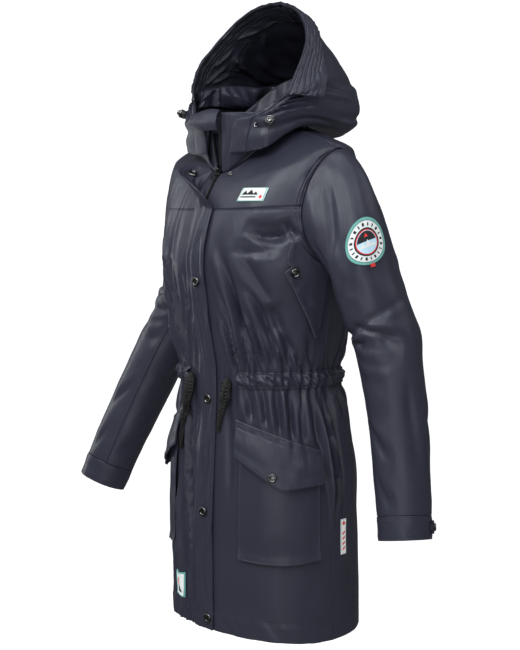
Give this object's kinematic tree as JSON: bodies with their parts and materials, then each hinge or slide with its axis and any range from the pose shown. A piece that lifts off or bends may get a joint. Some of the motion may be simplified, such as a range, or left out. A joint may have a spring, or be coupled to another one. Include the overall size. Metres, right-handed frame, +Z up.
{
  "type": "hooded raincoat",
  "caption": "Hip-to-thigh-length hooded raincoat, worn form with no wearer: zip under a snapped storm flap, gathered drawcord waist, flap pockets, corded hood.",
  "frame": {"origin": "middle of the neck opening, level with the points where the shoulder seams meet the neckline", "axes": "+Z up, front of the coat faces -Y, the wearer's left side is +X"},
  "size_m": [0.7737, 0.3468, 1.0865],
  "materials": {
    "shell": "dark navy coated cloth, semi-matt with a soft sheen",
    "lining": "near-black woven lining, matt",
    "zip": "black zip chain, tape and cord",
    "metal": "black nickel",
    "toggle": "black",
    "elastic": "black knitted elastic",
    "patch": null
  },
  "bodies": {
    "coat": {"front_left": "shell", "yoke_left": "shell", "front_right": "shell", "yoke_right": "shell", "back": "shell", "waist_casing": "shell", "sleeve_left_top": "shell", "sleeve_left_under": "shell", "cuff_left": "shell", "cuff_tab_left": "shell", "sleeve_right_top": "shell", "sleeve_right_under": "shell", "cuff_right": "shell", "cuff_tab_right": "shell", "hood_left": "shell", "hood_channel_left": "shell", "hood_right": "shell", "hood_channel_right": "shell", "hood_brim": "shell", "collar": "shell", "collar_turnback": "shell", "storm_flap": "shell", "patch_pocket_left": "shell", "patch_pocket_right": "shell", "pocket_flap_left": "shell", "hand_pocket_left": "shell", "pocket_flap_right": "shell", "hand_pocket_right": "shell", "cuff_snap_left": "metal", "cuff_snap_right": "metal", "zip_slider": "metal", "flap_snap_1": "metal", "flap_snap_2": "metal", "flap_snap_3": "metal", "flap_snap_4": "metal", "flap_snap_5": "metal", "flap_stud": "metal", "pocket_snap_left": "metal", "hand_snap_left": "metal", "pocket_snap_right": "metal", "hand_snap_right": "metal", "hood_lining_left": "lining", "hood_lining_right": "lining", "zip_guard": "lining", "hood_cord_left": "zip", "hood_cord_right": "zip", "zip_chain": "zip", "zip_tape_left": "zip", "zip_tape_right": "zip", "cord_stop_left": "toggle", "cord_stop_right": "toggle", "waist_cord_left": "elastic", "waist_cord_right": "elastic", "chest_patch": "patch", "side_tag": "patch", "hem_badge": "patch", "sleeve_badge": "patch"},
    "pull": {"zip_pull": "metal"},
    "left_button": {"cord_stop_button_left": "metal"},
    "right_button": {"cord_stop_button_right": "metal"}
  },
  "joints": [
    {"name": "zip_pull_hinge", "type": "hinge", "parent": "coat", "child": "pull", "pos_m": [0, -0.10063, -0.07112], "axis": [-1, 0, 0], "range_deg": [0, 130]},
    {"name": "left_button_press", "type": "slide", "parent": "coat", "child": "left_button", "axis": [-0.6718, 0.7184, -0.1806], "range_m": [0, 0.003], "stiffness_N_per_m": 400},
    {"name": "right_button_press", "type": "slide", "parent": "coat", "child": "right_button", "axis": [0.7265, 0.5804, -0.368], "range_m": [0, 0.003], "stiffness_N_per_m": 400}
  ]
}
